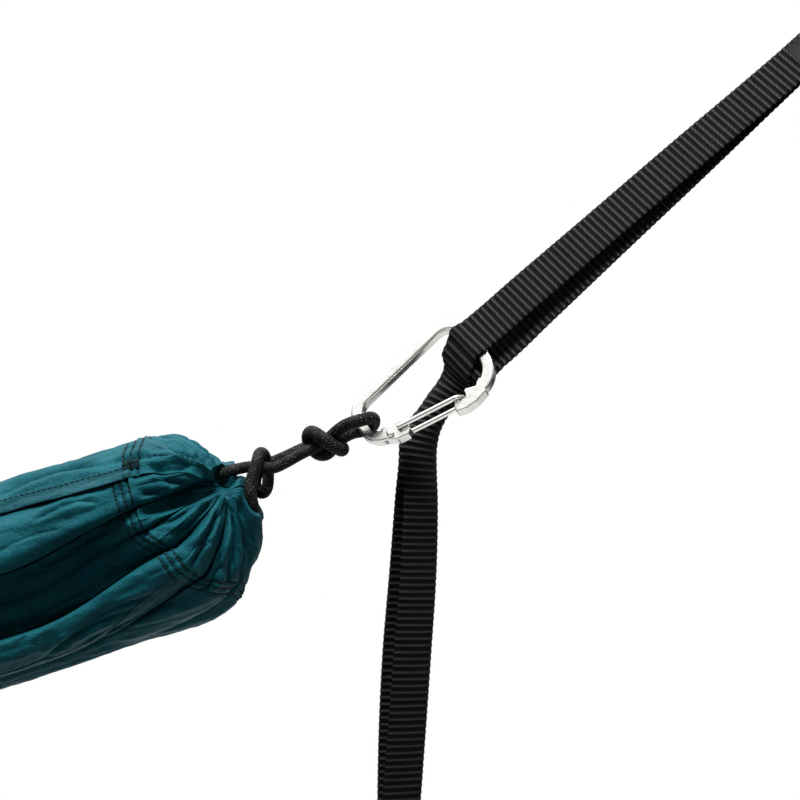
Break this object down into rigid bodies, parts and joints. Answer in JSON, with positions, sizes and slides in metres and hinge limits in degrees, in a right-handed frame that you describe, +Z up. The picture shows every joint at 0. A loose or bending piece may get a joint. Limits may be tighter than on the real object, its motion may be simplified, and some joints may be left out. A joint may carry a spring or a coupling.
{
  "type": "camping hammock",
  "caption": "Gathered-end camping hammock of pleated cloth, slung by knotted cord and wire-gate carabiners from two daisy-chain webbing straps.",
  "frame": {"origin": "centre of the right tree loop's eye", "axes": "+X out of the hammock's right end along its length, +Y away from its front side, +Z up"},
  "size_m": [3.3114, 0.64, 0.8698],
  "materials": {
    "cloth": "satin",
    "cloth_seam": "satin",
    "thread": "matte",
    "webbing": "matte",
    "cord": "matte",
    "steel": "polished",
    "steel_wire": "polished"
  },
  "bodies": {
    "tree_loops": {"right_tree_loop": "webbing", "right_loop_bartack": "thread", "left_tree_loop": "webbing", "left_loop_bartack": "thread"},
    "hammock": {"centre_panel": "cloth", "front_panel": "cloth", "rear_panel": "cloth", "front_seam": "cloth_seam", "rear_seam": "cloth_seam", "front_hem": "cloth_seam", "rear_hem": "cloth_seam", "right_carabiner_frame": "steel", "right_gate_rivet": "steel", "right_strap_front_web": "webbing", "right_strap_rear_web": "webbing", "right_strap_bartacks": "thread", "right_cord_bight": "cord", "right_outer_knot": "cord", "right_cord_pair": "cord", "right_inner_knot": "cord", "right_cord_leads": "cord", "right_drawn_cord": "cord", "right_end_channel": "cloth", "right_channel_stitching": "thread", "left_carabiner_frame": "steel", "left_gate_rivet": "steel", "left_strap_front_web": "webbing", "left_strap_rear_web": "webbing", "left_strap_bartacks": "thread", "left_cord_bight": "cord", "left_outer_knot": "cord", "left_cord_pair": "cord", "left_inner_knot": "cord", "left_cord_leads": "cord", "left_drawn_cord": "cord", "left_end_channel": "cloth", "left_channel_stitching": "thread"},
    "right_gate": {"right_carabiner_gate": "steel_wire"},
    "left_gate": {"left_carabiner_gate": "steel_wire"},
    "right_tail": {"right_tail_front_web": "webbing", "right_tail_rear_web": "webbing", "right_tail_bartacks": "thread"},
    "left_tail": {"left_tail_front_web": "webbing", "left_tail_rear_web": "webbing", "left_tail_bartacks": "thread"}
  },
  "joints": [
    {"name": "hammock_swing", "type": "hinge", "parent": "tree_loops", "child": "hammock", "pos_m": [-0.03456, 0, -0.03112], "axis": [1, 0, 0], "range_deg": [-30, 30]},
    {"name": "right_gate_hinge", "type": "hinge", "parent": "hammock", "child": "right_gate", "pos_m": [-0.26154, -0.00849, -0.2416], "axis": [-0.329, -0.8192, 0.4698], "range_deg": [0, 28], "stiffness_Nm_per_rad": 0.04, "springref_deg": -14.32},
    {"name": "left_gate_hinge", "type": "hinge", "parent": "hammock", "child": "left_gate", "pos_m": [-3.00846, -0.00849, -0.2416], "axis": [-0.329, 0.8192, -0.4698], "range_deg": [0, 28], "stiffness_Nm_per_rad": 0.04, "springref_deg": -14.32},
    {"name": "right_tail_swing", "type": "hinge", "parent": "hammock", "child": "right_tail", "pos_m": [-0.2477, 0.009, -0.253], "axis": [0.829, 0.5592, 0], "range_deg": [-50, 50]},
    {"name": "left_tail_swing", "type": "hinge", "parent": "hammock", "child": "left_tail", "pos_m": [-3.0223, 0.009, -0.253], "axis": [0.829, -0.5592, 0], "range_deg": [-50, 50]}
  ]
}
